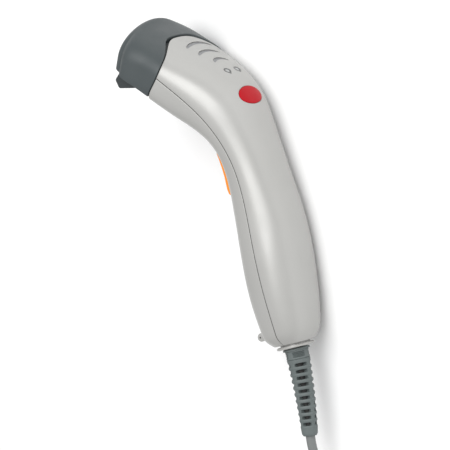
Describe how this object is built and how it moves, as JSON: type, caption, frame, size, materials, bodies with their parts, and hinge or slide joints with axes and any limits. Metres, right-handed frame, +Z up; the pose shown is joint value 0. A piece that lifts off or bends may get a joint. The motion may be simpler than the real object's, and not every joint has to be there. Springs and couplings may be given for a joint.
{
  "type": "microchip scanner",
  "caption": "Hand-held corded reader for animal microchips: a curved grip with a bar trigger, an angled head with a reading window, a ribbed strain relief and a coiled lead with a plug.",
  "frame": {"origin": "bottom centre of the bounding box of the scanner with its strain relief, as it lies on its side on a flat surface; the cord is not counted", "axes": "+Y from the cord end towards the head, +Z up from the surface it lies on, -X towards the side of the trigger and the reading face"},
  "size_m": [0.1082, 0.3744, 0.0675],
  "materials": {
    "light_plastic": "semi-gloss, slightly pearly",
    "dark_plastic": "satin",
    "window": "polished, dark",
    "gasket": "matt foam",
    "black_plastic": "matt",
    "copper": "enamelled copper",
    "circuit_board": "solder mask",
    "steel": "bright",
    "lamp": "clear moulded lamp",
    "led_lens": "smoked, clear",
    "ribbon": "flat cable",
    "plunger": "satin",
    "trigger_orange": "translucent",
    "clear_plug": "clear moulding",
    "badge_red": "gloss, plain",
    "boot_rubber": "matt",
    "cord_jacket": "satin jacket",
    "tongue": "plain"
  },
  "bodies": {
    "housing": {"rear_shell": "light_plastic", "front_shell": "light_plastic", "base_collar": "light_plastic", "head_cap": "dark_plastic", "face_bezel": "dark_plastic", "face_window": "window", "window_gasket": "gasket", "antenna_bobbin": "black_plastic", "antenna_coil": "copper", "antenna_lead_left": "copper", "antenna_lead_right": "copper", "reader_board": "circuit_board", "reader_chip": "black_plastic", "head_board_screw": "steel", "status_led_left": "lamp", "status_led_right": "lamp", "led_lens_left": "led_lens", "led_lens_right": "led_lens", "board_ribbon": "ribbon", "main_board": "circuit_board", "board_screw_1": "steel", "board_screw_2": "steel", "controller_chip": "black_plastic", "buzzer": "black_plastic", "trigger_switch": "black_plastic", "trigger_pin": "steel", "trigger_spring": "steel", "cable_socket": "black_plastic", "cable_plug": "clear_plug", "housing_screw_lower": "steel", "housing_screw_upper": "steel", "badge": "badge_red", "strain_relief": "boot_rubber", "cord_lead": "cord_jacket", "cord_coil": "cord_jacket", "cord_tail": "cord_jacket", "coil_tie": "black_plastic", "usb_plug_body": "boot_rubber", "usb_plug_shell": "steel", "usb_plug_tongue": "tongue"},
    "trigger": {"trigger": "trigger_orange"},
    "plunger": {"switch_plunger": "plunger"}
  },
  "joints": [
    {"name": "trigger_press", "type": "hinge", "parent": "housing", "child": "trigger", "pos_m": [0.01326, 0.04425, 0.0244], "axis": [0.2672, -0.0319, 0.9631], "range_deg": [0, 3.5], "stiffness_Nm_per_rad": 0.4, "springref_deg": -2.86, "deforming": ["trigger_spring"]},
    {"name": "plunger_slide", "type": "slide", "parent": "housing", "child": "plunger", "axis": [0.9636, 0.0089, -0.2671], "range_m": [0, 0.0013]}
  ],
  "couplings": [
    {"joint": "plunger_slide", "follows": "trigger_press", "m_per_rad": 0.0205}
  ]
}
